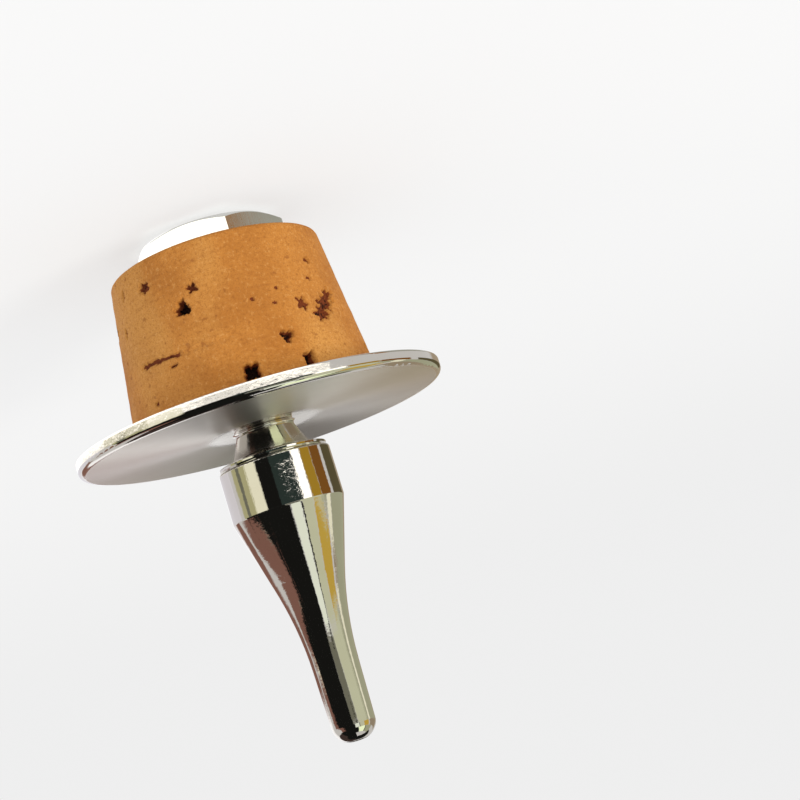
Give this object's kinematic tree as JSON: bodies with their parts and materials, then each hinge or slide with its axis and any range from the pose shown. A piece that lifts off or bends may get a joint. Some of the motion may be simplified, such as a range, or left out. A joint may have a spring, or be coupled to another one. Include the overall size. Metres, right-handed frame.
{
  "type": "bitters dasher top",
  "caption": "Tapered cork stopper with a round plated flange, a slender hollow dash spout and a thin hexagonal nut on a hollow stem.",
  "frame": {"origin": "on the axis, at the lower end of the stem, which is the middle of the underside of the bounding box", "axes": "+Z along the axis towards the spout's tip; -Y is the front"},
  "size_m": [0.0346, 0.0346, 0.0492],
  "materials": {
    "plated_flange": "polished nickel-chrome plate, slightly satin on the flat faces",
    "plated_spout": "bright polished nickel-chrome plate",
    "cork": "matte natural cork",
    "zinc_nut": "bright zinc plate"
  },
  "bodies": {
    "root": {"flange": "plated_flange", "spout": "plated_spout", "cork": "cork", "hex_nut": "zinc_nut"}
  },
  "joints": []
}
